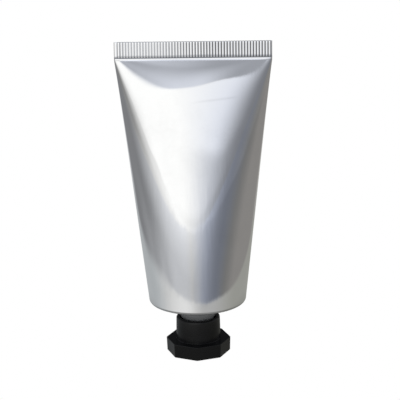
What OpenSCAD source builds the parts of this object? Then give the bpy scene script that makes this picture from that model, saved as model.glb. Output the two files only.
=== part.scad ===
// Squeeze tube of hand cream, standing upside down on its octagonal screw cap.
// Millimetres. Z is up and the seal of the tube runs along X. The origin is the middle of the
// cap's face, on which the tube stands, and all heights are stacked up from there.

/* [Sleeve] */
// Outside diameter of the sleeve at its round end
sleeve_d = 35; // [28:0.5:45]
// Length of the body from the rim of the shoulder to the foot of the seal
body_len = 86.8; // [65:0.2:130]
// Thickness of the laminate
laminate_t = 0.4; // [0.3:0.05:0.6]
// Outside radius of the bend where the sleeve is drawn in over the rim
rim_r = 1.2; // [0.9:0.1:2]
// Width of the hem that lies flat under the rim
hem_w = 0.8; // [0.4:0.1:1.5]

/* [Seal] */
// Height of the ribbed seal
seal_h = 5.5; // [4:0.5:8]
// Thickness of the seal over its ribs
seal_t = 1; // [0.8:0.1:1.6]
// Distance from one rib to the next
rib_pitch = 1; // [0.8:0.05:2]
// Depth of the grooves between the ribs
rib_depth = 0.18; // [0.1:0.02:0.3]
// Least width of the plain margin at each end of the seal
rib_margin = 0.6; // [0.3:0.1:2]
// Width that each end of the seal loses to its fold
fold_loss = 0.2; // [0.1:0.05:0.5]
// Height of the rounded ledge that closes the body under the seal
ledge_h = 0.8; // [0.4:0.1:1.5]
// Width by which that ledge stands out around the seal
ledge_w = 0.15; // [0.1:0.05:0.4]

/* [Shoulder] */
// Wall of the moulded shoulder and its neck
shoulder_t = 1.3; // [1:0.1:1.8]
// Slope of the shoulder, in degrees from level
shoulder_slope = 18; // [12:1:25]
// Wall of the skirt that the sleeve is sealed to
skirt_t = 0.8; // [0.6:0.1:1.2]
// Height of that skirt above the bend of the rim
skirt_h = 1.5; // [1:0.25:1.75]
// Diameter of the neck under its thread
neck_d = 10.4; // [9.6:0.1:12]
// Length of the straight part of the neck
neck_len = 8.4; // [7:0.1:10]
// Height of the cone between the neck and the shoulder
cone_h = 5.4; // [4:0.2:8]
// Angle of that cone from the axis, in degrees
cone_angle = 25.7; // [20:0.1:30]
// Bore of the outlet in the end of the neck
outlet_d = 4; // [2:0.5:5]
// Thickness of the end of the neck
neck_end_t = 1.2; // [0.8:0.1:2]

/* [Cap] */
// Width of the octagonal plate from corner to corner
plate_w = 23.4; // [21:0.2:32]
// Height of the octagonal plate
plate_h = 5; // [3.5:0.5:8]
// Width by which each side of the plate draws in towards the face
plate_draft = 0.15; // [0.05:0.05:0.4]
// Bevel on the edges of the plate
plate_bevel = 0.15; // [0.1:0.05:0.6]
// Width of the narrow flat that dulls each upright edge of the plate
plate_edge = 0.4; // [0.2:0.1:0.8]
// Height of the round collar above the plate
collar_h = 8.4; // [7:0.1:11]
// Wall of the collar around its bore
collar_t = 1.7; // [1.3:0.1:2.4]
// Width by which the collar spreads towards the plate
collar_draft = 0.15; // [0.05:0.05:0.4]
// Radius that rounds the outside of the mouth
lip_r = 0.8; // [0.4:0.1:1]
// Depth of the flare inside the mouth
flare_h = 1.6; // [1:0.1:2.5]
// Thickness of the closed face
face_t = 2; // [1.2:0.2:3]
// Depth of thread that the bore leaves room for
thread_h = 0.8; // [0.6:0.05:1]
// Gap between the thread of the neck and the bore
thread_clear = 0.2; // [0.1:0.05:0.4]
// Thickness of the liner disc
liner_t = 1; // [0.6:0.1:1.5]
// Gap around the liner disc
liner_clear = 0.2; // [0.1:0.05:0.4]

/* [Hidden] */

around = 48;        // points around a section of the sleeve
body_rings = 16;    // sections from the rim to the ledge
bend_steps = 4;     // straight steps in a rounded edge
sides = 8;          // sides of the plate
flare = 0.025;      // share by which the width hangs back before it spreads to the seal
$fn = 96;

sleeve_r = sleeve_d / 2;
girth = PI * sleeve_d;
seal_half_w = girth / 4 - fold_loss;

neck_r = neck_d / 2;
neck_bore_r = neck_r - shoulder_t;
bore_r = neck_r + thread_h + thread_clear;
collar_r = bore_r + collar_t;
cap_h = plate_h + collar_h;

// Heights, from the cap's face up to the seal
neck_end_z = face_t + liner_t;
cone_z = neck_end_z + neck_len;
cone_top_z = cone_z + cone_h;
cone_top_r = neck_r + cone_h * tan(cone_angle);
hem_r = sleeve_r - rim_r - hem_w;
hem_z = cone_top_z + (hem_r - cone_top_r) * tan(shoulder_slope);
rim_z = hem_z + rim_r;
skirt_z = rim_z + skirt_h;
skirt_r = sleeve_r - laminate_t;
seal_z = rim_z + body_len;

// Inside of the shoulder, from the end of the neck to the top of the skirt
cone_in = shoulder_t / cos(cone_angle);
slope_up = shoulder_t / cos(shoulder_slope);
skirt_in_r = skirt_r - skirt_t;
cone_in_z = cone_z + (cone_in - shoulder_t) / tan(cone_angle);
meet_z = cone_top_z + (slope_up - cone_in * tan(shoulder_slope))
    / (1 - tan(cone_angle) * tan(shoulder_slope));
meet_r = cone_top_r - cone_in + (meet_z - cone_top_z) * tan(cone_angle);
skirt_foot_z = cone_top_z + slope_up + (skirt_in_r - cone_top_r) * tan(shoulder_slope);
inside = [
    [neck_bore_r, neck_end_z + neck_end_t],
    [neck_bore_r, cone_in_z],
    [meet_r, meet_z],
    [skirt_in_r, skirt_foot_z],
    [skirt_in_r, skirt_z]
];

// Quarter of a round edge about [r, z], from angle a to angle b
function bend(r, z, radius, a, b) =
    [for (i = [0:bend_steps])
        let (turn = a + (b - a) * i / bend_steps)
        [r + radius * cos(turn), z + radius * sin(turn)]];

// Girth of an ellipse with half axes a and b
function ellipse_girth(a, b) =
    let (h = pow((a - b) / (a + b), 2))
    PI * (a + b) * (1 + 3 * h / (10 + sqrt(4 - 3 * h)));

// Half depth of the section that is half_w wide each way and has the girth of the sleeve
function half_depth(half_w, low = 0, high = sleeve_r, tries = 24) =
    let (middle = (low + high) / 2)
    tries == 0 ? middle
    : ellipse_girth(half_w, middle) > girth
        ? half_depth(half_w, low, middle, tries - 1)
        : half_depth(half_w, middle, high, tries - 1);

// Ring of points on an ellipse, and on a flat slot with square ends
function oval(half_w, half_d, z) =
    [for (i = [0:around - 1])
        let (a = 360 * i / around)
        [half_w * cos(a), half_d * sin(a), z]];
function slot(half_w, half_d, z) =
    [for (i = [0:around - 1])
        let (a = 360 * i / around, across = cos(a) / cos(360 / around), up = sin(a) / sin(360 / around))
        [half_w * max(-1, min(1, across)), half_d * max(-1, min(1, up)), z]];

// Body of the sleeve: the laminate can't stretch, so each section keeps the girth of the round
// end, and its depth follows from its width
body_sections = [for (i = [1:body_rings])
    let (
        t = 1 - pow(1 - i / body_rings, 1.7),
        spread = t + flare * (pow(t, 8) - t),
        half_w = sleeve_r + (seal_half_w - sleeve_r) * spread
    )
    oval(half_w, half_depth(half_w), rim_z + (body_len - ledge_h) * t)];

// Rounded ledge in which the section goes from the last ellipse to the slot of the seal
ledge_sections = [for (i = [1:bend_steps])
    let (
        a = 90 * i / bend_steps,
        wide = oval(seal_half_w, half_depth(seal_half_w), seal_z - ledge_h * cos(a)),
        shut = slot(seal_half_w, seal_t / 2 + ledge_w, seal_z - ledge_h * cos(a))
    )
    [for (k = [0:around - 1]) shut[k] + (wide[k] - shut[k]) * (1 - pow(sin(a / 2) / sin(45), 2))]];

// Solid through rings that all have the same number of points, with a flat end at each end
module loft(rings) {
    n = len(rings[0]);
    last = len(rings) - 1;
    walls = [for (s = [0:last - 1], i = [0:n - 1])
        let (j = (i + 1) % n, k = s * n)
        [k + i, k + n + i, k + n + j, k + j]];
    ends = [[for (i = [0:n - 1]) i], [for (i = [n:-1:1]) last * n + i % n]];
    polyhedron([for (ring = rings) each ring], concat(ends, walls));
}

// Laminate sleeve with what it holds: the inside of the shoulder, over the skirt and under the
// rim, then up the body. Outside the moulding a ring's flats, not its corners, keep the radius.
module body() {
    clear = 1 / cos(180 / around);
    seat = [
        [skirt_r, skirt_z],
        each bend(sleeve_r - rim_r, rim_z, rim_r - laminate_t, 0, -90),
        [hem_r, hem_z + laminate_t],
        [hem_r, hem_z]
    ];
    rim = bend(sleeve_r - rim_r, rim_z, rim_r, -90, 0);
    loft([
        for (p = inside) oval(p[0], p[0], p[1]),
        for (p = seat) oval(p[0] * clear, p[0] * clear, p[1]),
        for (p = rim) oval(p[0], p[0], p[1]),
        each body_sections,
        each ledge_sections
    ]);
}

// Outline of the seal from above, with ribs across both faces
module seal_outline() {
    ribs = floor(2 * (seal_half_w - rib_margin) / rib_pitch);
    start = -ribs * rib_pitch / 2;
    groove = seal_t / 2 - rib_depth;
    face = [
        [-seal_half_w, groove],
        for (i = [0:ribs - 1])
            for (p = [[0.1, groove], [0.3, seal_t / 2], [0.7, seal_t / 2], [0.9, groove]])
                [start + (i + p[0]) * rib_pitch, p[1]],
        [seal_half_w, groove]
    ];
    polygon(concat(face, [for (i = [len(face) - 1:-1:0]) [face[i][0], -face[i][1]]]));
}

module filled_sleeve() {
    color("silver") {
        body();
        translate([0, 0, seal_z])
            linear_extrude(seal_h)
                seal_outline();
    }
}

// Moulded shoulder: the neck, the cone, the sloping shoulder and the skirt are one wall
module shoulder() {
    color("lightgray")
        rotate_extrude()
            polygon([
                [outlet_d / 2, neck_end_z],
                [neck_r, neck_end_z],
                [neck_r, cone_z],
                [cone_top_r, cone_top_z],
                [hem_r, hem_z],
                [hem_r, hem_z + laminate_t],
                each bend(sleeve_r - rim_r, rim_z, rim_r - laminate_t, -90, 0),
                [skirt_r, skirt_z],
                each [for (i = [len(inside) - 1:-1:0]) inside[i]],
                [outlet_d / 2, neck_end_z + neck_end_t]
            ]);
}

// Foam disc that the end of the neck is screwed down on
module liner() {
    color("white")
        translate([0, 0, face_t])
            cylinder(h = liner_t, r = bore_r - liner_clear);
}

// One flat cut on each side of the plate, through [r, z] and leaning by an angle from upright.
// With no turn the cuts are on its corners.
module side_cuts(r, z, lean, turn = 180 / sides) {
    reach = plate_w;
    for (i = [0:sides - 1])
        rotate(i * 360 / sides + turn - 90)
            translate([r, 0, z])
                rotate([0, lean, 0])
                    translate([0, -reach / 2, -reach / 2])
                        cube(reach);
}

// Octagonal plate with a corner to the front, drawn in towards the face, with bevelled edges
module plate() {
    half = 180 / sides;
    flat_r = plate_w / 2 * cos(half);
    corner_r = plate_w / 2 - plate_edge / 2 * tan(half);
    corner_draft = plate_draft / cos(half);
    difference() {
        rotate(-90)
            cylinder(h = plate_h, r = plate_w / 2, $fn = sides);
        side_cuts(flat_r, plate_h, atan(plate_draft / plate_h));
        side_cuts(flat_r - plate_draft - plate_bevel, 0, 45);
        side_cuts(flat_r - plate_bevel, plate_h, -45);
        side_cuts(corner_r, plate_h, atan(corner_draft / plate_h), 0);
        side_cuts(corner_r - corner_draft - plate_bevel, 0, 45, 0);
        side_cuts(corner_r - plate_bevel, plate_h, -45, 0);
    }
}

// Cap: the plate and a round collar are one moulding, with one bore down to the closed face
module cap() {
    mouth_r = collar_r - lip_r;
    color("#202024")
        difference() {
            union() {
                plate();
                rotate_extrude()
                    polygon([
                        [0, plate_h / 2],
                        [collar_r + collar_draft, plate_h / 2],
                        [collar_r + collar_draft, plate_h],
                        each bend(collar_r - lip_r, cap_h - lip_r, lip_r, 0, 90),
                        [0, cap_h]
                    ]);
            }
            rotate_extrude()
                polygon([
                    [0, face_t],
                    [bore_r, face_t],
                    [bore_r, cap_h - flare_h],
                    [mouth_r, cap_h],
                    [mouth_r, cap_h + lip_r],
                    [0, cap_h + lip_r]
                ]);
        }
}

filled_sleeve();
shoulder();
liner();
cap();
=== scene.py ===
# %% [markdown]
# # A hand-cream tube that stands on its cap
# The imported solid model gives every size and every place. This script puts the real surfaces
# over it: the silver laminate with its ribbed seal, the moulded shoulder, the threads, the black
# cap and the foam disc in it. The frame is loaded first, and its parts stay in the scene.

# %% Load the frame
import math

import bmesh
import bpy
from mathutils import Matrix, Vector


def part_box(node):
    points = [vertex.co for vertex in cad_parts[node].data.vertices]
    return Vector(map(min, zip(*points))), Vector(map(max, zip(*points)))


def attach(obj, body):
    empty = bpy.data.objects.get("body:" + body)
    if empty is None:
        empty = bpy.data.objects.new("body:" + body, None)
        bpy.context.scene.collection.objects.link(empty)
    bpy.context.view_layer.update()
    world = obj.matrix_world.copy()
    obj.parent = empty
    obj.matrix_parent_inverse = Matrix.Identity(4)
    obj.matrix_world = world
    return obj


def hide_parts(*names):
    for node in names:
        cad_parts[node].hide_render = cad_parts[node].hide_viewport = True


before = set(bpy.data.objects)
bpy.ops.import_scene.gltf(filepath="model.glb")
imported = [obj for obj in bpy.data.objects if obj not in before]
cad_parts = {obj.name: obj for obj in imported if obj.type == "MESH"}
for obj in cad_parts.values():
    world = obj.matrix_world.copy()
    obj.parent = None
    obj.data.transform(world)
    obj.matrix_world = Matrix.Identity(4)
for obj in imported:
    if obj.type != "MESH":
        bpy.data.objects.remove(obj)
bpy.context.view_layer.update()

MM = 0.001

# %% [markdown]
# ## Sizes taken from the solids
# The sleeve's radius and width and both top heights are measured on the frame's own nodes. What
# can't be measured from a box is repeated here in millimetres and turned into metres once.

# %% Main sizes
sleeve_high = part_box("filled_sleeve")[1]
cap_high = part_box("cap")[1]
SLEEVE_R = sleeve_high.y
SEAL_HALF_W = sleeve_high.x
TOP_Z = sleeve_high.z
CAP_TOP_Z = cap_high.z
SEAL_H = 5.5 * MM
SEAL_T = 1.0 * MM
SEAL_Z = TOP_Z - SEAL_H
LEDGE_H = 0.8 * MM
LEDGE_Z = SEAL_Z - LEDGE_H
LEDGE_OUT = 0.15 * MM
RIB_PITCH = 1.0 * MM
RIBS = 53
RIB_SHIFT = 0.4 * MM
LAMINATE_T = 0.4 * MM
RIM_R = 1.2 * MM
HEM_R = 15.5 * MM
RIM_Z = SEAL_Z - 86.8 * MM
HEM_Z = RIM_Z - RIM_R
GIRTH = 2 * math.pi * SLEEVE_R
print("sleeve from", round(HEM_Z / MM, 2), "to", round(TOP_Z / MM, 2), "mm")
print("girth", round(GIRTH / MM, 2), "mm")

# %% [markdown]
# ## Helpers for plain meshes
# Many packaging pieces are rings of points joined one after the other, so one helper does both
# the turned pieces and the lofted ones. A ring of a single point closes an end.

# %% Rings and lofts
def circle(radius, z, angles):
    return [(radius * math.cos(a), radius * math.sin(a), z) for a in angles]


def loft(bm, rings):
    """Joins rings of equally many points with quads. A ring of one point closes an end."""
    rows = [[bm.verts.new(p) for p in ring] for ring in rings]
    for low, high in zip(rows, rows[1:]):
        n = max(len(low), len(high))
        for i in range(n):
            j = (i + 1) % n
            corners = [low[i % len(low)], low[j % len(low)],
                       high[j % len(high)], high[i % len(high)]]
            bm.faces.new(list(dict.fromkeys(corners)))
    return rows


def arc(centre_r, centre_z, radius, start, end, steps):
    """Points [r, z] of a rounded edge, with the angles in degrees."""
    turns = [math.radians(start + (end - start) * i / steps) for i in range(steps + 1)]
    return [(centre_r + radius * math.cos(a), centre_z + radius * math.sin(a)) for a in turns]


def even_angles(n):
    return [2 * math.pi * i / n for i in range(n)]


# %% Finished pieces
def move_into(target, part):
    """Moves the faces of one bmesh into another."""
    scratch = bpy.data.meshes.new("scratch")
    part.to_mesh(scratch)
    part.free()
    target.from_mesh(scratch)
    bpy.data.meshes.remove(scratch)


MERGE = 2e-6


def close_mesh(bm):
    """Merges doubles, and turns all faces outwards."""
    bmesh.ops.remove_doubles(bm, verts=bm.verts, dist=MERGE)
    bmesh.ops.recalc_face_normals(bm, faces=bm.faces)


def make_piece(name, bm, material):
    mesh = bpy.data.meshes.new(name)
    bm.to_mesh(mesh)
    bm.free()
    mesh.materials.clear()
    mesh.materials.append(material)
    for polygon in mesh.polygons:
        polygon.use_smooth = True
        polygon.material_index = 0
    piece = bpy.data.objects.new(name, mesh)
    bpy.context.scene.collection.objects.link(piece)
    print(f"{name}: {len(mesh.polygons)} faces, {count_open_edges(mesh)} open edges")
    return piece


def count_open_edges(mesh):
    used = {}
    for polygon in mesh.polygons:
        for key in polygon.edge_keys:
            used[key] = used.get(key, 0) + 1
    return sum(1 for count in used.values() if count != 2)


# %% [markdown]
# ## Helper for node trees
# Shapes that follow a rule are written as formulas. This small class turns + - * / and ** into
# Math nodes, so that a rule reads in the script as it would on paper. It works in a geometry
# tree and in a shader tree alike.

# %% Formulas as nodes
class Flow:
    """A number that runs through a node tree."""

    def __init__(self, tree, socket):
        self.tree, self.socket = tree, socket

    def math(self, operation, *others):
        node = self.tree.nodes.new("ShaderNodeMath")
        node.operation = operation
        for socket, value in zip(node.inputs, (self, *others)):
            feed(self.tree, socket, value)
        return Flow(self.tree, node.outputs[0])

    def __add__(self, other):
        return self.math("ADD", other)

    def __sub__(self, other):
        return self.math("SUBTRACT", other)

    def __mul__(self, other):
        return self.math("MULTIPLY", other)

    def __truediv__(self, other):
        return self.math("DIVIDE", other)

    def __pow__(self, other):
        return self.math("POWER", other)

    __radd__ = __add__
    __rmul__ = __mul__

    def __rsub__(self, other):
        return self * -1 + other

    def clamp(self, low=0.0, high=1.0):
        return self.math("MAXIMUM", low).math("MINIMUM", high)

    def ease(self, start, end):
        """Runs smoothly from 0 at start to 1 at end, as the number itself passes them."""
        node = self.tree.nodes.new("ShaderNodeMapRange")
        node.interpolation_type = "SMOOTHSTEP"
        feed(self.tree, node.inputs["Value"], self)
        feed(self.tree, node.inputs["From Min"], start)
        feed(self.tree, node.inputs["From Max"], end)
        return Flow(self.tree, node.outputs["Result"])


def feed(tree, socket, value):
    if isinstance(value, Flow):
        tree.links.new(value.socket, socket)
    else:
        socket.default_value = value


# %% Nodes and groups
def add_node(tree, kind, output=0, **inputs):
    """Adds a node, feeds its inputs and returns one output. Spaces in names are underscores."""
    node = tree.nodes.new(kind)
    for key, value in inputs.items():
        feed(tree, node.inputs[key.replace("_", " ")], value)
    return Flow(tree, node.outputs[output])


def split_place(tree, vector):
    """The x, y and z of a vector as three flows."""
    node = add_node(tree, "ShaderNodeSeparateXYZ", Vector=vector).socket.node
    return [Flow(tree, node.outputs[axis]) for axis in "XYZ"]


def new_group(name, kind, numbers, output, output_type):
    """A node group with number inputs and one output."""
    tree = bpy.data.node_groups.new(name, kind)
    tree.interface.new_socket(name=output, in_out="OUTPUT", socket_type=output_type)
    for label, value in numbers.items():
        number = "NodeSocketInt" if isinstance(value, int) else "NodeSocketFloat"
        socket = tree.interface.new_socket(name=label, in_out="INPUT", socket_type=number)
        socket.default_value = value
    return tree


def inputs_of(tree):
    """The inputs of a node group as a dict of flows."""
    group_in = tree.nodes.new("NodeGroupInput")
    return {s.name: Flow(tree, s) for s in group_in.outputs if s.name}


def end_group(tree, flow):
    out = tree.nodes.new("NodeGroupOutput")
    feed(tree, out.inputs[0], flow)


# %% [markdown]
# A sheet that a rule bends is the common start of the sleeve, the seal and the threads: a flat
# grid whose corners run from 0 to 1 both ways. The rule gives each of its points a new place.

# %% Bent grid
def start_rule(name, sizes):
    """A geometry tree with named inputs. Returns the tree and a dict of its inputs as flows."""
    tree = new_group(name, "GeometryNodeTree", sizes, "Geometry", "NodeSocketGeometry")
    tree.interface.new_socket(name="Finish", in_out="INPUT", socket_type="NodeSocketMaterial")
    return tree, inputs_of(tree)


def flat_grid(tree, along, around):
    """A grid of these many cells, and the two flows that run from 0 to 1 over it."""
    grid = add_node(tree, "GeometryNodeMeshGrid", Size_X=1.0, Size_Y=1.0,
                    Vertices_X=along + 1, Vertices_Y=around + 1)
    x, y, _ = split_place(tree, add_node(tree, "GeometryNodeInputPosition"))
    return grid, x + 0.5, y + 0.5


def end_rule(tree, given, grid, x, y, z):
    """Puts each point of the grid at x, y, z, closes the seams and gives the result its finish."""
    place = add_node(tree, "ShaderNodeCombineXYZ", X=x, Y=y, Z=z)
    bent = add_node(tree, "GeometryNodeSetPosition", Geometry=grid, Position=place)
    closed = add_node(tree, "GeometryNodeMergeByDistance", Geometry=bent, Distance=MERGE)
    real = add_node(tree, "GeometryNodeRealizeInstances", Geometry=closed)
    finished = add_node(tree, "GeometryNodeSetMaterial", Geometry=real, Material=given["Finish"])
    end_group(tree, finished)


def build_rule(tree, finish, **sizes):
    """Runs a tree on an empty object and returns its result as a plain mesh in a bmesh."""
    holder = bpy.data.objects.new(tree.name, bpy.data.meshes.new(tree.name))
    bpy.context.scene.collection.objects.link(holder)
    modifier = holder.modifiers.new("rule", "NODES")
    modifier.node_group = tree
    sockets = {s.name: s.identifier for s in tree.interface.items_tree if s.in_out == "INPUT"}
    for label, value in sizes.items():
        modifier[sockets[label.replace("_", " ")]] = value
    modifier[sockets["Finish"]] = finish
    result = holder.evaluated_get(bpy.context.evaluated_depsgraph_get())
    mesh = bpy.data.meshes.new_from_object(result)
    bm = bmesh.new()
    bm.from_mesh(mesh)
    bpy.data.objects.remove(holder)
    bpy.data.meshes.remove(mesh)
    print(f"{tree.name}: {len(bm.verts)} points from the rule")
    return bm


# %% [markdown]
# ## Shared effects of the finishes
# Two effects come back on several materials. Film, moulded plastic and cream have a slight
# unevenness: long soft waves and a fine texture on top. And things that are handled have soft
# smudges, where the gloss differs a little. Each is a node group with its own sizes as inputs.

# %% Unevenness group
def new_effect(name, inputs, output):
    tree = new_group(name, "ShaderNodeTree", inputs, output, "NodeSocketFloat")
    return tree, inputs_of(tree)


def object_point(tree):
    return add_node(tree, "ShaderNodeTexCoord", "Object")


def noise(tree, vector, scale, detail=2.0, roughness=0.5):
    return add_node(tree, "ShaderNodeTexNoise", "Fac", Vector=vector, Scale=scale,
                    Detail=detail, Roughness=roughness)


unevenness, given = new_effect("unevenness", {
    "Wave Scale": 60.0, "Wave Height": 1.0, "Grain Scale": 2500.0, "Grain Height": 0.05}, "Height")
point = object_point(unevenness)
waves = noise(unevenness, point, given["Wave Scale"], 1.0) * given["Wave Height"]
grain = noise(unevenness, point, given["Grain Scale"], 2.0, 0.6) * given["Grain Height"]
end_group(unevenness, waves + grain)
print("effect:", unevenness.name)

# %% Smudge group
smudges, given = new_effect("smudges", {"Patch Scale": 90.0, "Amount": 0.5}, "Mask")
point = object_point(smudges)
patch = noise(smudges, point, given["Patch Scale"], 4.0, 0.55).ease(0.45, 0.72)
fine = noise(smudges, point, given["Patch Scale"] * 9.0, 3.0, 0.7)
end_group(smudges, patch * fine * given["Amount"])
print("effect:", smudges.name)


# %% [markdown]
# ## Finishes
# Every finish starts from a shader whose constant values sit on its own sockets. What varies
# over the surface, such as colour, gloss and relief, is fed by nodes.

# %% Helpers for finishes
def new_finish(name, **constants):
    material = bpy.data.materials.new(name)
    material.use_nodes = True
    tree = material.node_tree
    shader = tree.nodes["Principled BSDF"]
    for label, value in constants.items():
        shader.inputs[label.replace("_", " ")].default_value = value
    return material, tree, shader


def use_effect(tree, group, **values):
    node = tree.nodes.new("ShaderNodeGroup")
    node.node_tree = group
    for label, value in values.items():
        feed(tree, node.inputs[label.replace("_", " ")], value)
    return Flow(tree, node.outputs[0])


def relief(tree, shader, height, distance):
    bump = add_node(tree, "ShaderNodeBump", "Normal", Height=height, Distance=distance)
    feed(tree, shader.inputs["Normal"], bump)


def mixed_colour(tree, mask, first, second):
    """From the first colour to the second along a mask. Each is a tuple or a flow."""
    mix = tree.nodes.new("ShaderNodeMix")
    mix.data_type = "RGBA"
    feed(tree, mix.inputs["Factor"], mask)
    for socket, colour in ((mix.inputs[6], first), (mix.inputs[7], second)):
        feed(tree, socket, colour if isinstance(colour, Flow) else (*colour, 1.0))
    return Flow(tree, mix.outputs[2])


def two_tone(tree, shader, mask, first, second):
    feed(tree, shader.inputs["Base Color"], mixed_colour(tree, mask, first, second))


def gloss(tree, shader, smudge, clean, smudged):
    """Roughness of a clean place and of a fully smudged one."""
    feed(tree, shader.inputs["Roughness"], smudge * (smudged - clean) + clean)


# %% [markdown]
# ### Silver laminate
# The sleeve is a web of polyethylene with a metallised layer near its outside, under a clear
# skin. So it is a metal with a high gloss, and the clear skin adds a faint second reflection.
# Four things are drawn on it by where a point lies. The web is welded along its length with a
# lap of 1.6 mm, on the back. It was drawn over rollers, which left faint upright lines in the
# lower half. Painted shade darkens the grooves and the foot of the ribs, most to the right.
# And the film has one shallow crease to the right, where it folded as the seal was pressed,
# and its colour there gets a little painted shade.

# %% Sleeve finish
# The darker metal colour serves the painted shade and the smudges
BRIGHT_METAL, SHADED_AND_SMUDGED_METAL = (0.86, 0.865, 0.875), (0.16, 0.16, 0.165)
silver_film, tree, shader = new_finish(
    "silver_film", Metallic=1.0, Coat_Weight=0.1, Coat_Roughness=0.03, Coat_IOR=1.45)
smudge = use_effect(tree, smudges, Patch_Scale=70.0, Amount=0.9)
gloss(tree, shader, smudge, 0.04, 0.10)
point = object_point(tree)
x, y, z = split_place(tree, point)
print("finish:", silver_film.name)


# %% Painted shade in the grooves of the seal
def from_groove(x, shift, pitch, ribs):
    """How far x lies from the nearest groove of the seal, in ribs: 0 in a groove, 0.5 on a rib."""
    place = (x - shift) / pitch + ribs * 0.5
    return 0.5 - (place.math("FRACT") - 0.5).math("ABSOLUTE")


# Painted shade in the grooves, strongest to the right and at the left end
groove = 1.0 - from_groove(x, RIB_SHIFT, RIB_PITCH, RIBS).ease(0.04, 0.26)
on_ribs = z.ease(SEAL_Z + 0.1 * MM, SEAL_Z + 0.3 * MM) * (1.0 - z.ease(TOP_Z - 0.3 * MM, TOP_Z))
left_end = 1.0 - x.ease(-27.0 * MM, -22.0 * MM)
groove_shade_strength = x.ease(-16.0 * MM, 8.0 * MM) * 0.62 + left_end * 0.3 + 0.22
# Painted shade along the foot of the ribs
rib_foot_shade = z.ease(SEAL_Z - 0.2 * MM, SEAL_Z) * (1.0 - z.ease(SEAL_Z + 0.2 * MM, SEAL_Z + 0.5 * MM))
painted_groove_shade = (groove * on_ribs * groove_shade_strength).math("MAXIMUM", rib_foot_shade * 0.5)
print("grooves every", RIB_PITCH / MM, "mm on", RIBS, "ribs")

# %% Crease, lap and drawn lines
off_crease = (z - x * 0.1 - 92.8 * MM) / (0.45 * MM)
crease = (off_crease * off_crease * -1.0).math("EXPONENT") * x.ease(-3.0 * MM, 6.0 * MM)
crease = crease * (1.0 - x.ease(12.0 * MM, 16.0 * MM)) * (1.0 - y.ease(-1.0 * MM, 0.0))
# Painted shade of the grooves, the rib foot and the crease, with the real smudges, darkens the
# metal
smudges_and_painted_shade = painted_groove_shade.math("MAXIMUM", smudge * 0.1) + crease * 0.1
two_tone(tree, shader, smudges_and_painted_shade, BRIGHT_METAL, SHADED_AND_SMUDGED_METAL)
lap = x.ease(-0.9 * MM, -0.7 * MM) * (1.0 - x.ease(0.7 * MM, 0.9 * MM)) * y.ease(1.2 * MM, 1.6 * MM)
along_web = add_node(tree, "ShaderNodeMapping", Vector=point, Scale=(1.0, 1.0, 0.03))
drawn = noise(tree, along_web, 420.0, 2.0, 0.55) * (1.0 - z.ease(60.0 * MM, 80.0 * MM) * 0.9)
waves = use_effect(tree, unevenness, Wave_Scale=42.0, Wave_Height=1.0,
                   Grain_Scale=1900.0, Grain_Height=0.006)
relief(tree, shader, waves + lap * 0.35 + drawn * 0.28 + crease * 0.1, 0.12 * MM)
print("nodes in the sleeve's finish:", len(tree.nodes))

# %% [markdown]
# ### Moulded plastics
# The shoulder is polyethylene filled with silver-grey pigment. The cap is black polypropylene
# from a polished mould, so its reflections are soft but clear. The liner is matt white foam
# with fine cells, and the cream is smooth and slightly shiny.

# %% Moulded finishes
silver_moulding, tree, shader = new_finish(
    "silver_moulding", Metallic=0.2, Coat_Weight=0.15, Coat_Roughness=0.3)
smudge = use_effect(tree, smudges, Patch_Scale=160.0, Amount=0.8)
two_tone(tree, shader, smudge, (0.34, 0.35, 0.355), (0.29, 0.295, 0.30))
gloss(tree, shader, smudge, 0.30, 0.40)
grain = use_effect(tree, unevenness, Wave_Scale=180.0, Wave_Height=0.4,
                   Grain_Scale=5200.0, Grain_Height=0.25)
relief(tree, shader, grain, 0.03 * MM)

black_moulding, tree, shader = new_finish(
    "black_moulding", Metallic=0.0, IOR=1.5, Specular_IOR_Level=0.42)
smudge = use_effect(tree, smudges, Patch_Scale=220.0, Amount=0.8)
two_tone(tree, shader, smudge, (0.003, 0.003, 0.0035), (0.007, 0.007, 0.0075))
gloss(tree, shader, smudge, 0.26, 0.38)
grain = use_effect(tree, unevenness, Wave_Scale=260.0, Wave_Height=0.5,
                   Grain_Scale=6500.0, Grain_Height=0.3)
relief(tree, shader, grain, 0.02 * MM)
print("finishes:", silver_moulding.name, black_moulding.name)

# %% Foam and cream
white_foam, tree, shader = new_finish("white_foam", Roughness=0.85, Specular_IOR_Level=0.3)
cells = add_node(tree, "ShaderNodeTexVoronoi", "Distance", Vector=object_point(tree), Scale=3200.0)
two_tone(tree, shader, cells.ease(0.1, 0.7), (0.62, 0.62, 0.60), (0.86, 0.86, 0.84))
relief(tree, shader, cells, 0.05 * MM)

smooth_cream, tree, shader = new_finish(
    "smooth_cream", Roughness=0.28, Subsurface_Weight=0.2, Subsurface_Scale=0.002)
swirl = use_effect(tree, unevenness, Wave_Scale=420.0, Wave_Height=1.0,
                   Grain_Scale=3000.0, Grain_Height=0.05)
two_tone(tree, shader, swirl, (0.86, 0.84, 0.79), (0.93, 0.92, 0.88))
relief(tree, shader, swirl, 0.15 * MM)
print("finishes:", white_foam.name, smooth_cream.name)

# %% [markdown]
# ## The body of the sleeve
# A laminate tube is made from a round tube of film that is only pressed flat at one end. The
# film can't stretch, so at every height the way round it is the same length. As the width
# grows towards the seal, the depth has to shrink, fast near the end. It could be modelled by
# eye with a subdivision surface, but then the film would stretch. Here the rule itself makes
# the shape: the width is given at each height, and the depth that keeps the girth is found by
# halving an interval 26 times, in a Repeat Zone.

# %% Depth that keeps the girth
def ellipse_girth(a, b):
    """Way round an ellipse with half axes a and b. It takes plain numbers and flows alike."""
    share = ((a - b) / (a + b)) ** 2.0
    root = (4.0 - 3.0 * share) ** 0.5
    return (a + b) * (share * 3.0 / (root + 10.0) + 1.0) * math.pi


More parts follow.
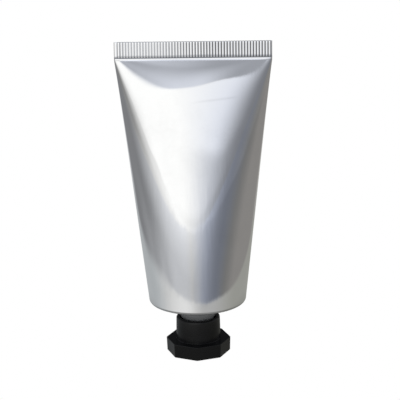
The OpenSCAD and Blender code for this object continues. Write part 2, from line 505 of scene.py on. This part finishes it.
def depth_by_halving(tree, half_w, girth, largest, rounds=26):
    """The half depth of the ellipse that is half_w wide each way and has this girth."""
    start = tree.nodes.new("GeometryNodeRepeatInput")
    end = tree.nodes.new("GeometryNodeRepeatOutput")
    start.pair_with_output(end)
    end.repeat_items.clear()
    for label in ("Low", "High"):
        end.repeat_items.new("FLOAT", label)
    start.inputs["Iterations"].default_value = rounds
    start.inputs["Low"].default_value = 0.0
    feed(tree, start.inputs["High"], largest)
    low, high = Flow(tree, start.outputs["Low"]), Flow(tree, start.outputs["High"])
    middle = (low + high) * 0.5
    too_long = ellipse_girth(half_w, middle).math("GREATER_THAN", girth)
    feed(tree, end.inputs["Low"], low + (1.0 - too_long) * (middle - low))
    feed(tree, end.inputs["High"], high + too_long * (middle - high))
    return (Flow(tree, end.outputs["Low"]) + Flow(tree, end.outputs["High"])) * 0.5


# %% Rule of the body
AROUND = 192


def body_rule():
    tree, given = start_rule("sleeve_body", {
        "Round Radius": SLEEVE_R, "Seal Half Width": SEAL_HALF_W, "Foot": RIM_Z,
        "Length": LEDGE_Z - RIM_Z, "Hang Back": 0.025, "Inset": 0.0,
        "Around": AROUND, "Rings": 120})
    grid, u, v = flat_grid(tree, given["Rings"], given["Around"])
    # The rings stand closer together towards the seal, where the depth changes fastest
    t = 1.0 - (1.0 - u) ** 1.7
    spread = t + given["Hang Back"] * (t ** 8.0 - t)
    half_w = given["Round Radius"] + (given["Seal Half Width"] - given["Round Radius"]) * spread
    girth = given["Round Radius"] * (2 * math.pi)
    half_d = depth_by_halving(tree, half_w, girth, given["Round Radius"])
    turn = v * (2 * math.pi)
    x = (half_w - given["Inset"]) * turn.math("COSINE")
    y = (half_d - given["Inset"]) * turn.math("SINE")
    end_rule(tree, given, grid, x, y, given["Foot"] + given["Length"] * t)
    return tree


body = body_rule()
outer = build_rule(body, silver_film, Around=AROUND, Rings=130)
inner = build_rule(body, silver_film, Around=AROUND, Rings=24, Inset=LAMINATE_T)
print("widest", round(max(v.co.x for v in outer.verts) / MM, 3), "mm each way")

# %% [markdown]
# ## Rim, hem and ledge
# At the round end the film is drawn in over the shoulder's rim and its hem lies flat below it.
# At the other end the jaws pinch the body in a short shelf, from a thin ellipse to a slot, and
# leave a narrow plain band under the ribs. Both ends are short, so they are lofted ring by
# ring and then welded to the body, whose last rings have the same points.

# %% Rings for the ends
def python_depth(half_w):
    """The same half depth as the rule finds, in plain Python for a single ring."""
    low, high = 0.0, SLEEVE_R
    for _ in range(40):
        middle = (low + high) / 2
        if ellipse_girth(half_w, middle) > GIRTH:
            high = middle
        else:
            low = middle
    return (low + high) / 2


def oval(half_w, half_d, z, angles):
    return [(half_w * math.cos(a), half_d * math.sin(a), z) for a in angles]


def slot_ring(half_w, half_t, z, angles):
    """A flat slot with blunt rounded ends, on the same points as an ellipse."""
    return [(half_w * math.cos(a), half_t * math.tanh(6 * math.sin(a)), z) for a in angles]


def across(bm, ring):
    """Closes a flat ring with quads that run from its front to its back."""
    n = len(ring)
    for i in range(1, n // 2):
        corners = [ring[i], ring[i - 1], ring[(n - i + 1) % n], ring[n - i]]
        bm.faces.new(list(dict.fromkeys(corners)))
    bm.faces.new([ring[n // 2], ring[n // 2 - 1], ring[n // 2 + 1]])


# %% Ledge under the seal
angles = even_angles(AROUND)
last_d = python_depth(SEAL_HALF_W)
LEDGE_STEPS = 10
SHELF_RISE = 0.22 * MM
BAND_HALF_T = SEAL_T / 2 + LEDGE_OUT
BAND_LEAN = 0.13
ledge = [oval(SEAL_HALF_W, last_d, LEDGE_Z, angles)]
for step in range(1, LEDGE_STEPS + 1):
    a = math.pi / 2 * step / LEDGE_STEPS
    z = LEDGE_Z + SHELF_RISE * (1 - math.cos(a))
    wide = oval(SEAL_HALF_W, last_d, z, angles)
    shut = slot_ring(SEAL_HALF_W, BAND_HALF_T, z, angles)
    share = 1 - math.sin(a)
    ledge.append([tuple(s + (w - s) * share for w, s in zip(p, q)) for p, q in zip(wide, shut)])
band_foot, band_top = LEDGE_Z + SHELF_RISE, SEAL_Z - 0.06 * MM
for rise in (0.35, 0.7, 1.0):
    z = band_foot + (band_top - band_foot) * rise
    ledge.append(slot_ring(SEAL_HALF_W, BAND_HALF_T - BAND_LEAN * (z - LEDGE_Z), z, angles))
top_t = BAND_HALF_T - BAND_LEAN * LEDGE_H
ledge.append(slot_ring(SEAL_HALF_W - 0.05 * MM, top_t - 0.06 * MM, SEAL_Z, angles))
ledge.append(slot_ring(SEAL_HALF_W - 0.4 * MM, SEAL_T / 2 - 0.3 * MM, SEAL_Z, angles))
print("half depth under the ledge", round(last_d / MM, 3), "mm")

# %% Rim and hem
bend_r = SLEEVE_R - RIM_R
rim = [(HEM_R, HEM_Z + 0.2 * MM), (HEM_R + 0.04 * MM, HEM_Z + 0.04 * MM), (HEM_R + 0.2 * MM, HEM_Z)]
rim += arc(bend_r, RIM_Z, RIM_R, -90, 0, 12)
lining = [(HEM_R, HEM_Z + 0.2 * MM), (HEM_R, HEM_Z + LAMINATE_T)]
lining += arc(bend_r, RIM_Z, RIM_R - LAMINATE_T, -90, 0, 6)
print("rings of the rim:", len(rim), "outside and", len(lining), "inside")

# %% Join the sleeve
sleeve = bmesh.new()
for part in (outer, inner):
    move_into(sleeve, part)
across(sleeve, loft(sleeve, ledge)[-1])
loft(sleeve, [circle(r, z, angles) for r, z in rim])
loft(sleeve, [circle(r, z, angles) for r, z in lining])
inner_top = oval(SEAL_HALF_W - LAMINATE_T, last_d - LAMINATE_T, LEDGE_Z, angles)
across(sleeve, [sleeve.verts.new(p) for p in inner_top])
close_mesh(sleeve)
print("sleeve so far:", len(sleeve.faces), "faces")

# %% [markdown]
# ## The ribbed seal
# The open end is pressed shut between two heated jaws with upright grooves, which leave a rib
# at every millimetre, and a plain margin at each end where the jaws run out. The ribs repeat
# along the seal, so a rule makes them: the thickness at each place follows from where that
# place lies between two grooves. The same grid runs up the front, over the top and down the
# back, so the strip is one closed skin.

# %% Rule of the seal
def seal_rule():
    tree, given = start_rule("ribbed_seal", {
        "Half Width": SEAL_HALF_W, "Half Thickness": SEAL_T / 2, "Height": SEAL_H,
        "Foot": SEAL_Z, "Sunk": 0.4 * MM, "Rib Pitch": RIB_PITCH, "Ribs": RIBS, "Shift": RIB_SHIFT,
        "Groove Depth": 0.26 * MM, "Edge Radius": 0.12 * MM, "End Radius": 0.3 * MM,
        "Lean": 0.12, "Lean Wave": 0.035,
        "Along": 760, "Around": 40})
    grid, u, v = flat_grid(tree, given["Along"], given["Around"])
    x = (u * 2.0 - 1.0) * given["Half Width"]

    # Thickness: whole on a rib, less in a groove and on the margins, and round to the ends
    off_groove = from_groove(x, given["Shift"], given["Rib Pitch"], given["Ribs"])
    ribbed_half = given["Ribs"] * given["Rib Pitch"] * 0.5
    on_margin = (x - given["Shift"]).math("ABSOLUTE").math("GREATER_THAN", ribbed_half)
    groove = (1.0 - off_groove.ease(0.02, 0.2)).math("MAXIMUM", on_margin)
    crown = (0.5 - off_groove) ** 2.0 * (0.12 * MM)
    flat = given["Half Thickness"] - groove * given["Groove Depth"] - crown
    past = (x.math("ABSOLUTE") - (given["Half Width"] - given["End Radius"])) / given["End Radius"]
    thick = flat * (1.0 - past.clamp() ** 2.0).math("MAXIMUM", 0.0) ** 0.5

    # Way round the section: 0 in the middle of the top, 1 where the face starts, 2 at the foot.
    # The first share of the top is flat, and the rest of it is the rounded edge.
    flat_share = 0.4
    way = (v - 0.5).math("ABSOLUTE") * 4.0
    side = (v - 0.5).math("SIGN")
    edge = given["Edge Radius"].math("MINIMUM", thick)
    quarter = ((way - flat_share) / (1.0 - flat_share)).clamp() * (math.pi / 2)
    out = (thick - edge) * (way / flat_share).clamp() + edge * quarter.math("SINE")
    off_foot = (2.0 - way).math("GREATER_THAN", 1e-4)
    rise = given["Height"] - edge + edge * quarter.math("COSINE")
    drop = (given["Height"] + given["Sunk"] - edge) * (way - 1.0).clamp()
    up = rise - drop
    undercut = 1.0 - up.ease(0.0, 0.45 * MM)

    # The jaws don't close quite square, so the strip leans back, less in one place than another
    wave = (x - 5.0 * MM) / (9.0 * MM)
    lean = given["Lean"] - given["Lean Wave"] * (wave * wave * -1.0).math("EXPONENT")
    y = side * out * off_foot * (1.0 - undercut * 0.3) + lean * up.math("MAXIMUM", 0.0)
    end_rule(tree, given, grid, x, y, given["Foot"] + up)
    return tree


# %% Seal on the sleeve
seal = build_rule(seal_rule(), silver_film, Along=816)
close_mesh(seal)
move_into(sleeve, seal)
sleeve_laminate = make_piece("sleeve_laminate", sleeve, silver_film)
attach(sleeve_laminate, "tube")

# %% [markdown]
# ## Cream in the neck
# The tube is full, so the cream stands in the neck and shows in the outlet when the cap is
# off. It is a turned plug with a slightly domed face.

# %% Cream
NECK_END_Z = 3.0 * MM
OUTLET_R = 2.0 * MM
NECK_BORE_R = 3.9 * MM
END_T = 1.2 * MM
turns = even_angles(64)
# Radius and height over the neck's end, in millimetres: the domed face, then up the bore
plug = [(0.0, 0.25), (0.6, 0.26), (1.2, 0.32), (1.7, 0.45), (1.95, 0.62),
        (1.95, END_T / MM + 0.05), (3.85, END_T / MM + 0.1), (3.85, 7.5), (0.0, 7.8)]
profile = [(r * MM, NECK_END_Z + z * MM) for r, z in plug]
bm = bmesh.new()
loft(bm, [circle(r, z, turns if r > 0 else [0.0]) for r, z in profile])
close_mesh(bm)
cream = make_piece("cream", bm, smooth_cream)
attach(cream, "tube")
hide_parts("filled_sleeve")

# %% [markdown]
# ## Shoulder and neck
# The shoulder is moulded onto the sleeve in one shot: the end of the neck with its outlet, the
# neck, a cone, the sloping shoulder and the skirt behind the sleeve. It is round all over, so
# it is one turned profile. Small radii stand where the mould's edges are, because a razor-sharp
# edge never catches light as a real one does.

# %% Sizes of the shoulder
NECK_R = 5.2 * MM
CONE_Z = NECK_END_Z + 8.4 * MM
CONE_H = 5.4 * MM
CONE_SLOPE = math.radians(25.7)
CONE_TOP_Z = CONE_Z + CONE_H
CONE_TOP_R = NECK_R + CONE_H * math.tan(CONE_SLOPE)
WALL = 1.3 * MM
SHOULDER_SLOPE = math.radians(18)
SKIRT_R = SLEEVE_R - LAMINATE_T - 0.01 * MM
SKIRT_IN_R = SKIRT_R - 0.8 * MM
SKIRT_Z = RIM_Z + 1.5 * MM
print("cone from", round(CONE_Z / MM, 2), "to", round(CONE_TOP_Z / MM, 2), "mm")


# %% Turn the shoulder
def rounded(points, radius, steps=4):
    """Rounds the inner corners of a profile with short curves of about this radius."""
    done = [points[0]]
    for before, corner, after in zip(points, points[1:], points[2:]):
        b, c, a = Vector(before), Vector(corner), Vector(after)
        reach = min(radius, (b - c).length * 0.45, (a - c).length * 0.45)
        start, end = c + (b - c).normalized() * reach, c + (a - c).normalized() * reach
        for i in range(steps + 1):
            s = i / steps
            done.append(tuple(start * (1 - s) ** 2 + c * (2 * s * (1 - s)) + end * s ** 2))
    return done + [points[-1]]


outside = [(OUTLET_R, NECK_END_Z + END_T), (OUTLET_R, NECK_END_Z), (NECK_R, NECK_END_Z),
           (NECK_R, CONE_Z), (CONE_TOP_R, CONE_TOP_Z),
           (HEM_R - 0.05 * MM, HEM_Z - 0.02 * MM), (HEM_R, HEM_Z + LAMINATE_T)]
outside = rounded(outside, 0.25 * MM)
outside += arc(bend_r, RIM_Z, RIM_R - LAMINATE_T - 0.01 * MM, -90, 0, 6) + [(SKIRT_R, SKIRT_Z)]
foot_z = CONE_TOP_Z + WALL / math.cos(SHOULDER_SLOPE)
foot_z += (SKIRT_IN_R - CONE_TOP_R) * math.tan(SHOULDER_SLOPE)
cone_in_r = CONE_TOP_R - WALL / math.cos(CONE_SLOPE) + 0.3 * MM
inside = [(SKIRT_IN_R, SKIRT_Z), (SKIRT_IN_R, foot_z), (cone_in_r, CONE_TOP_Z + WALL),
          (NECK_BORE_R, CONE_Z), (NECK_BORE_R, NECK_END_Z + END_T)]
turns = even_angles(160)
bm = bmesh.new()
rows = loft(bm, [circle(r, z, turns) for r, z in outside + inside])
for i in range(len(turns)):
    j = (i + 1) % len(turns)
    bm.faces.new((rows[-1][i], rows[-1][j], rows[0][j], rows[0][i]))
close_mesh(bm)
shoulder_neck = make_piece("shoulder_neck", bm, silver_moulding)
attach(shoulder_neck, "tube")
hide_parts("shoulder")

# %% [markdown]
# ## Threads
# A ridge that climbs round the neck meets a ridge that climbs round the cap's bore. Both are
# right-hand, with a pitch of 3 mm, so the tube rises by 3 mm a turn, as the frame's coupled
# joints say. One rule makes both: a closed ribbon bent along a helix, which thins out to
# nothing at each end as a moulded thread does. A negative height turns it inwards.

# %% Rule of a thread
def thread_rule():
    tree, given = start_rule("thread_ridge", {
        "Root Radius": NECK_R, "Height": 0.8 * MM, "Half Width": 0.62 * MM, "Pitch": 3.0 * MM,
        "Turns": 1.5, "Start": 5.0 * MM, "Start Turn": 0.0, "Lead": 0.1,
        "Along": 300, "Around": 20})
    grid, u, v = flat_grid(tree, given["Along"], given["Around"])
    lead = u.ease(0.0, given["Lead"]) * (1.0 - u.ease(1.0 - given["Lead"], 1.0))
    phase = v * (2 * math.pi)
    sine, cosine = phase.math("SINE"), phase.math("COSINE")
    bulge = sine.math("SIGN") * sine.math("ABSOLUTE") ** 0.75
    width = cosine.math("SIGN") * cosine.math("ABSOLUTE") ** 0.75
    turn = given["Turns"] * u
    radius = given["Root Radius"] + bulge * lead * given["Height"]
    angle = (turn + given["Start Turn"]) * (2 * math.pi)
    z = given["Start"] + given["Pitch"] * turn + width * lead * given["Half Width"]
    end_rule(tree, given, grid, radius * angle.math("COSINE"), radius * angle.math("SINE"), z)
    return tree


# %% Thread of the neck
thread = thread_rule()
bm = build_rule(thread, silver_moulding, Start=4.7 * MM, Turns=1.5)
close_mesh(bm)
neck_thread = make_piece("neck_thread", bm, silver_moulding)
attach(neck_thread, "tube")

# %% [markdown]
# ## The cap
# The cap is one moulding: an octagonal plate with a round collar on it. The plate leans in a
# little towards the face, so that it leaves the mould, and its edges are dulled. All rings are
# drawn on the same directions, which crowd together at the eight corners, so the octagon's
# sides stay flat and its corners crisp while the collar stays round.

# %% Octagon of the plate
SIDES = 8
PLATE_R = 11.7 * MM
PLATE_H = 5.0 * MM
DRAFT = 0.15 * MM
EDGE_DEPTH = 0.2 * MM * math.tan(math.pi / SIDES)
near_corner = [0.0, 0.35, 0.75, 1.2, 1.8, 2.6, 4.0, 6.0, 8.5, 11.5, 14.5, 17.5, 20.0]
offsets = sorted({-a for a in near_corner} | set(near_corner) | {22.5})
cap_angles = [math.radians(45 * k + a - 90) for k in range(SIDES) for a in offsets]


def plate_ring(inset, z):
    """The octagon with a corner to the front, drawn in by the inset and by the draft at z."""
    lean = DRAFT * (1 - z / PLATE_H)
    half_side = math.pi / SIDES
    flat = PLATE_R * math.cos(half_side) - lean - inset
    corner = PLATE_R - EDGE_DEPTH - lean / math.cos(half_side) - inset
    ring = []
    for a in cap_angles:
        off = (a + math.pi / 2) % (2 * half_side)
        to_corner, to_side = min(off, 2 * half_side - off), abs(off - half_side)
        radius = min(flat / math.cos(to_side), corner / math.cos(to_corner))
        ring.append((radius * math.cos(a), radius * math.sin(a), z))
    return ring


print("octagon ring:", len(cap_angles), "points")

# %% [markdown]
# The profile goes once round the cap: from the middle of the face, up the plate's side, over
# its top, up the collar, over the lip, and down the bore to the inside of the face.

# %% Rings of the plate
BEVEL = 0.15 * MM
COLLAR_R = 7.9 * MM
COLLAR_FOOT_R = COLLAR_R + 0.15 * MM
BORE_R = 6.2 * MM
FACE_T = 2.0 * MM
LIP_R = 0.8 * MM
FLARE_H = 1.6 * MM
FILLET = 0.1 * MM
BESIDE = 0.15 * MM  # rings this close beside an edge keep its shading to the edge
quarter_turn = [math.pi / 2 * i / 4 for i in range(5)]
rings = [[(0.0, 0.0, 0.0)]]
rings += [plate_ring(inset, 0.0) for inset in (8.0 * MM, 3.0 * MM, BEVEL + 0.1 * MM)]
rings += [plate_ring(BEVEL * (1 - math.sin(a)), BEVEL * (1 - math.cos(a))) for a in quarter_turn]
rings += [plate_ring(0.0, z) for z in (BEVEL + BESIDE, PLATE_H / 2, PLATE_H - BEVEL - BESIDE)]
rings += [plate_ring(BEVEL * (1 - math.cos(a)), PLATE_H - BEVEL * (1 - math.sin(a)))
          for a in quarter_turn]
rings.append(plate_ring(BEVEL + BESIDE, PLATE_H))
print("plate:", len(rings), "rings")

# %% Loft the cap
flare_z = CAP_TOP_Z - FLARE_H
collar = [(COLLAR_FOOT_R + FILLET + BESIDE, PLATE_H)]
collar += arc(COLLAR_FOOT_R + FILLET, PLATE_H + FILLET, FILLET, 270, 180, 5)
collar += [(COLLAR_FOOT_R - 0.01 * MM, PLATE_H + FILLET + BESIDE),
           ((COLLAR_FOOT_R + COLLAR_R) / 2, 9.2 * MM),
           (COLLAR_R + 0.005 * MM, CAP_TOP_Z - LIP_R - BESIDE)]
collar += arc(COLLAR_R - LIP_R, CAP_TOP_Z - LIP_R, LIP_R, 0, 90, 8)
collar += [(COLLAR_R - LIP_R - 0.12 * MM, CAP_TOP_Z - 0.06 * MM),
           (BORE_R + 0.12 * MM, flare_z + BESIDE), (BORE_R, flare_z - BESIDE),
           (BORE_R, FACE_T + 0.3 * MM), (BORE_R - 0.09 * MM, FACE_T + 0.09 * MM),
           (BORE_R - 0.3 * MM, FACE_T), (2.0 * MM, FACE_T)]
rings += [circle(r, z, cap_angles) for r, z in collar] + [[(0.0, 0.0, FACE_T)]]
bm = bmesh.new()
loft(bm, rings)
close_mesh(bm)
cap_shell = make_piece("cap_shell", bm, black_moulding)
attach(cap_shell, "cap")
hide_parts("cap")

# %% Thread of the cap
bm = build_rule(thread, black_moulding, Root_Radius=BORE_R, Height=-0.8 * MM, Half_Width=0.55 * MM,
                Start=7.7 * MM, Turns=1.2, Start_Turn=0.5, Lead=0.12)
close_mesh(bm)
cap_thread = make_piece("cap_thread", bm, black_moulding)
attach(cap_thread, "cap")

# %% [markdown]
# ## Liner
# The foam disc in the bottom of the cap is a plain stamped disc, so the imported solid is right
# as it is. It only gets the foam's finish.

# %% Liner
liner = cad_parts["liner"]
liner.data.materials.clear()
liner.data.materials.append(white_foam)
print("liner keeps its solid:", len(liner.data.polygons), "faces")

# %% [markdown]
# ## Studio
# A polished metal shows what stands around it, so the studio is the look. Lamps alone would
# give hard spots, so here everything around shines softly by itself. The dome is a dim room
# with one big soft panel to the front left, arched at its top, a daylight tint above it, a
# warm wall to the right and dark behind. Where an edge of light lies was worked back from where
# the photograph shows its reflection: each place on the tube looks in one known direction.

# %% Directions
DEGREES = 180 / math.pi


def azimuth_of(x, y):
    """Direction on the table in degrees: 0 is to the front, and right is plus."""
    return x.math("ARCTAN2", y * -1.0) * DEGREES


def direction_angles(tree, vector):
    """Azimuth and elevation of a direction, in degrees."""
    x, y, z = split_place(tree, vector)
    return azimuth_of(x, y), z.clamp(-1.0, 1.0).math("ARCSINE") * DEGREES


def seen_by_camera(tree):
    return add_node(tree, "ShaderNodeLightPath", "Is Camera Ray")


# %% Light and colours of the room
WHITE = (1.0, 1.0, 1.0)
PANEL_WHITE, DAYLIGHT, WARM_WALL = (1.0, 0.998, 0.98), (0.915, 0.985, 1.17), (1.04, 1.0, 0.95)


def room(azimuth):
    """Dim light of the room, a little brighter at both sides than in front."""
    left, right = 1.0 - azimuth.ease(-85.0, -45.0), azimuth.ease(50.0, 78.0)
    return left * 0.05 + right * 0.07 + 0.19


def room_colour(tree, azimuth, above, blueness):
    """The panel is neutral. The front right and the height are bluish, the far right is warm."""
    front_right = azimuth.ease(-14.0, 20.0) * (1.0 - azimuth.ease(34.0, 60.0))
    cool = mixed_colour(tree, front_right.math("MAXIMUM", above) * blueness, PANEL_WHITE, DAYLIGHT)
    return mixed_colour(tree, azimuth.ease(46.0, 76.0) * (1.0 - above), cool, WARM_WALL)


# %% Panel of the dome
ARCH_TOP, ARCH_FOOT = 24.2, 9.5
world = bpy.data.worlds.new("studio")
bpy.context.scene.world = world
world.use_nodes = True
tree = world.node_tree
background = tree.nodes["Background"]
azimuth, elevation = direction_angles(tree, add_node(tree, "ShaderNodeTexCoord", "Generated"))

# From left to right. Under the lower edge it fades sooner than above it
lower_edge = 6.9 - (azimuth - 3.0).math("MAXIMUM", 0.0) * 0.17
high = (elevation - lower_edge).ease(-1.1, 0.9)
low_side = 1.0 - azimuth.ease(elevation.ease(-0.4, 1.0) * 10.0 - 29.0, 40.0)
high_side = (1.0 - (azimuth + 12.0).clamp(0.0, 60.0) * 0.011) * (1.0 - azimuth.ease(10.0, 40.0))
panel_side = azimuth.ease(-68.0, -34.0) * (low_side + (high_side - low_side) * high)

# The arched top, and the glow just over the arch
left_arm, right_arm = azimuth * 0.38 + 24.9, azimuth * -0.865 + 31.3
crown = left_arm.math("SMOOTH_MIN", right_arm, 4.0)
crown = crown.math("SMOOTH_MIN", ARCH_TOP, 8.0).math("MAXIMUM", ARCH_FOOT)
blur = (1.0 - azimuth.ease(-26.0, -12.0)) * 1.9 + 0.6
above = (elevation - crown).ease(blur * -1.0, blur)
halo_side = azimuth.ease(-32.0, -8.0) * (1.0 - azimuth.ease(-2.0, 12.0))
halo = (1.0 - (elevation - crown).ease(0.0, 17.0)) * halo_side * 0.39
print("panel: its arch is", ARCH_TOP, "degrees up")

# %% Dome
far_left = elevation.ease(26.0, 46.0) * (1.0 - azimuth.ease(-14.0, 4.0)) * 0.24
top_light = elevation.ease(58.0, 76.0) * 0.75
behind = azimuth.math("ABSOLUTE").ease(120.0, 150.0) * (1.0 - elevation.ease(30.0, 60.0))
right_glow = azimuth.ease(24.0, 38.0) * (1.0 - azimuth.ease(55.0, 75.0)) * 0.045
panel_light = panel_side * (1.0 - above) * 0.97 + (halo + far_left + 0.2) * above
light = (room(azimuth) + panel_light + top_light + right_glow) * (1.0 - behind * 0.9)
in_view = seen_by_camera(tree)
dome_colour = room_colour(tree, azimuth, above, 0.55)
feed(tree, background.inputs["Color"], mixed_colour(tree, in_view, dome_colour, WHITE))
feed(tree, background.inputs["Strength"], light + in_view * (1.0 - light))
print("nodes in the dome:", len(tree.nodes))

# %% [markdown]
# ### Table and paper
# The lower half of the tube looks down at the table. The table is 1.3 m wide and ends 2.4 m in
# front of the tube, and its edges give the long highlight its V. A sheet of paper with a round
# front lies under the tube and makes the pale band above the cap. Close to the cap, the tube
# keeps the light off the paper. To the camera itself, table and dome are plain white.

# %% Floor
HALF = 4.0
floor_mesh = bpy.data.meshes.new("floor")
corners = [(-HALF, -HALF, 0), (HALF, -HALF, 0), (HALF, HALF, 0), (-HALF, HALF, 0)]
floor_mesh.from_pydata(corners, [], [(0, 1, 2, 3)])
floor = bpy.data.objects.new("floor", floor_mesh)
bpy.context.scene.collection.objects.link(floor)
print("floor", 2 * HALF, "m wide")

# %% Light of the table and beyond it
TABLE_SIDE, TABLE_END = (0.58, 0.72), (2.0, 2.8)
white_table = bpy.data.materials.new("white_table")
white_table.use_nodes = True
tree = white_table.node_tree
tree.nodes.clear()
x, y, _ = split_place(tree, object_point(tree))
azimuth = azimuth_of(x, y)
distance = (x * x + y * y) ** 0.5
past_side = x.math("ABSOLUTE").ease(*TABLE_SIDE)
off_table = past_side.math("MAXIMUM", (y * -1.0).ease(*TABLE_END))
on_share = (distance.math("LOGARITHM", math.e) * 0.2 + 0.625).clamp(0.41, 0.74)
panel_share = on_share + off_table * (distance.ease(1.2, 2.6) * 0.19 + 0.76 - on_share)
far_out = distance.ease(1.5, 2.6)
panel_start = distance.ease(0.4, 1.1) * 16.0 - far_out * 8.0 - 80.0
panel_side = azimuth.ease(panel_start, far_out * 11.0 - 35.0) * (1.0 - azimuth.ease(-24.0, 39.0))
left_glow = azimuth.ease(-110.0, -80.0) * (1.0 - azimuth.ease(-62.0, -50.0))
left_glow = left_glow * (1.0 - distance.ease(0.12, 0.32))
behind = (1.0 - azimuth.ease(-160.0, -118.0)) * 0.6 + azimuth.ease(125.0, 168.0) * 0.35
right_wall = x.ease(0.56, 0.68) * 0.035
far_light = room(azimuth) + behind + right_wall + panel_side * panel_share + left_glow * 0.12
print("the table ends", TABLE_SIDE, "m to each side and", TABLE_END, "m to the front")

# %% Sheet of paper
SHEET_X, SHEET_Y, SHEET_HALF_W, SHEET_REACH = -0.015, -0.05, 0.115, 0.18
across_sheet = (x - SHEET_X) / SHEET_HALF_W
along_sheet = (y - SHEET_Y).math("MINIMUM", 0.0) / SHEET_REACH
past_edge = (across_sheet ** 2.0 + along_sheet ** 2.0) ** 0.5 - 1.0
sheet_edge = (1.0 - azimuth.ease(-62.0, -38.0)) * 0.14 + 0.05
sheet = 1.0 - past_edge.ease(sheet_edge * -1.0, sheet_edge)
left_share = azimuth.ease(-105.0, -22.0) * (1.0 - azimuth.ease(-24.0, 22.0))
right_share = azimuth.ease(20.0, 90.0)
sheet_light = left_share * distance.ease(0.03, 0.065) * 0.36 - right_share * 0.13 + 0.47
under_tube = distance.ease(0.028, 0.072) * 0.5 + 0.5
table_light = (far_light + sheet * (sheet_light - far_light)) * under_tube
in_view = seen_by_camera(tree)
strength = table_light + in_view * (1.0 - table_light)
print("sheet", 2 * SHEET_HALF_W, "m wide")

# %% Tints of the table and of the paper
cool_left = (1.0 - azimuth.ease(-20.0, 0.0)) * (1.0 - off_table) * 0.25
table_tint = room_colour(tree, azimuth, cool_left, 1.0)
paper_left = mixed_colour(tree, azimuth.ease(-95.0, -50.0), (0.955, 1.0, 1.02), (1.0, 1.0, 0.985))
paper_tint = mixed_colour(tree, azimuth.ease(30.0, 85.0), paper_left, (1.0, 1.0, 0.915))
tint = mixed_colour(tree, in_view, mixed_colour(tree, sheet, table_tint, paper_tint), WHITE)
emission = add_node(tree, "ShaderNodeEmission", Color=tint, Strength=strength)
output = tree.nodes.new("ShaderNodeOutputMaterial")
feed(tree, output.inputs["Surface"], emission)
floor_mesh.materials.append(white_table)
print("nodes in the table:", len(tree.nodes))

# %% [markdown]
# ## Camera
# The photograph was taken from slightly above and slightly to the right, at about 45 cm. The
# camera looks at a point on the tube's axis, and is turned a little about its own line of
# sight.

# %% Camera
AIM = Vector((1.505, 0.0, 56.531)) * MM
DISTANCE = 450 * MM
TURN, RAISE, ROLL = (math.radians(a) for a in (2.831, 14.891, 1.108))
level = math.cos(RAISE)
back = Vector((math.sin(TURN) * level, -math.cos(TURN) * level, math.sin(RAISE)))
right = Vector((math.cos(TURN), math.sin(TURN), 0.0))
up = back.cross(right)
right_rolled = right * math.cos(ROLL) - up * math.sin(ROLL)
up_rolled = right * math.sin(ROLL) + up * math.cos(ROLL)
FOCAL_PIXELS = 1269.03
PICTURE_PIXELS = 400
camera_data = bpy.data.cameras.new("camera")
camera_data.sensor_width = 36.0
camera_data.lens = FOCAL_PIXELS / PICTURE_PIXELS * camera_data.sensor_width
camera_data.clip_start = 0.01
camera = bpy.data.objects.new("camera", camera_data)
turned = Matrix((right_rolled, up_rolled, back)).transposed().to_4x4()
turned.translation = AIM + back * DISTANCE
camera.matrix_world = turned
bpy.context.scene.collection.objects.link(camera)
bpy.context.scene.camera = camera
bpy.context.scene.view_settings.view_transform = "Standard"
print("camera at", [round(c, 4) for c in camera.location])
